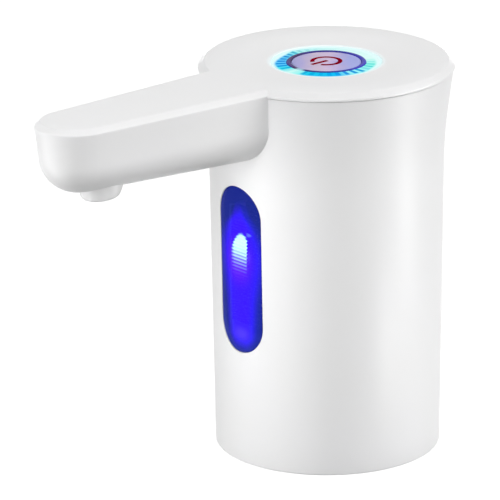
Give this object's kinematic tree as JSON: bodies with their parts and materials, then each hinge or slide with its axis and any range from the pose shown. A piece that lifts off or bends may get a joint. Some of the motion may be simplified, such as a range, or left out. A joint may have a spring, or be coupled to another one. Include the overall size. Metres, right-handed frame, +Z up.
{
  "type": "bottled water pump",
  "caption": "Round upright pump for a large water bottle, with a spout arm, a lit push button and a tall side window.",
  "frame": {"origin": "centre of the bottle-neck socket's mouth, on the axis of the body, in the plane that it stands on", "axes": "+Z up along the body's axis, -Y along the spout arm, +X to the right seen from behind the arm"},
  "size_m": [0.08, 0.1511, 0.1249],
  "materials": {
    "shell": "glossy, white moulded",
    "inner_plastic": "satin",
    "window_plastic": "clear blue, polished",
    "plate_plastic": "ribbed, lit violet-blue",
    "ring_plastic": "milky, lit cyan",
    "bezel_plastic": "metallic violet paint",
    "button_plastic": "satin lilac",
    "board": "solder mask",
    "black_plastic": "fine grain",
    "lamp": "clear",
    "steel": "drawn",
    "zinc": "zinc plated",
    "brass": "plain",
    "ferrite": "sintered",
    "seal_rubber": "matt",
    "silicone": "satin, milky",
    "gear_plastic": "natural acetal",
    "cell_wrap": "shrink film",
    "red_sleeve": "satin",
    "black_sleeve": "satin"
  },
  "bodies": {
    "housing": {"body_shell": "shell", "top_cover": "shell", "window_lens": "window_plastic", "spout_nozzle": "shell", "nozzle_seal": "seal_rubber", "light_ring": "ring_plastic", "button_bezel": "bezel_plastic", "switch_body": "black_plastic", "control_board": "board", "ring_led_1": "lamp", "ring_led_2": "lamp", "ring_led_3": "lamp", "ring_led_4": "lamp", "board_screw_1": "zinc", "board_screw_2": "zinc", "board_screw_3": "zinc", "window_light_plate": "plate_plastic", "window_led_board": "board", "window_led": "lamp", "pump_housing": "black_plastic", "pump_gasket": "seal_rubber", "pump_cover": "black_plastic", "idler_pin": "steel", "shaft_seal": "seal_rubber", "pump_screw_1": "zinc", "pump_screw_2": "zinc", "pump_screw_3": "zinc", "pump_screw_4": "zinc", "inlet_barb": "shell", "inlet_seal": "seal_rubber", "spout_tube": "silicone", "motor_can": "steel", "motor_end_cap": "black_plastic", "motor_magnet_left": "ferrite", "motor_magnet_right": "ferrite", "motor_terminal_left": "brass", "motor_terminal_right": "brass", "inner_frame": "inner_plastic", "base_floor": "shell", "floor_screw_1": "zinc", "floor_screw_2": "zinc", "floor_screw_3": "zinc", "neck_collar": "silicone", "battery_cell": "cell_wrap", "battery_tab_bottom": "steel", "battery_tab_top": "steel", "charge_board": "board", "usb_port": "steel", "motor_wire_left": "red_sleeve", "motor_wire_right": "black_sleeve", "battery_wire_top": "red_sleeve", "battery_wire_bottom": "black_sleeve", "board_cable": "black_sleeve", "window_wire": "red_sleeve"},
    "button": {"button_cap": "button_plastic"},
    "switch": {"switch_plunger": "black_plastic"},
    "pump_drive": {"motor_rotor": "steel", "drive_gear": "gear_plastic"},
    "pump_idler": {"idler_gear": "gear_plastic"}
  },
  "joints": [
    {"name": "button_press", "type": "slide", "parent": "housing", "child": "button", "axis": [0, 0, -1], "range_m": [0, 0.0005], "stiffness_N_per_m": 900, "springref_m": -0.001},
    {"name": "switch_press", "type": "slide", "parent": "housing", "child": "switch", "axis": [0, 0, -1], "range_m": [0, 0.0005]},
    {"name": "motor_spin", "type": "hinge", "parent": "housing", "child": "pump_drive", "pos_m": [-0.006, -0.0058, 0.0458], "axis": [0, 0, 1], "continuous": true},
    {"name": "idler_spin", "type": "hinge", "parent": "housing", "child": "pump_idler", "pos_m": [0.006, -0.0058, 0.0458], "axis": [0, 0, 1], "continuous": true}
  ],
  "couplings": [
    {"joint": "switch_press", "follows": "button_press", "ratio": 1},
    {"joint": "idler_spin", "follows": "motor_spin", "ratio": -1}
  ]
}
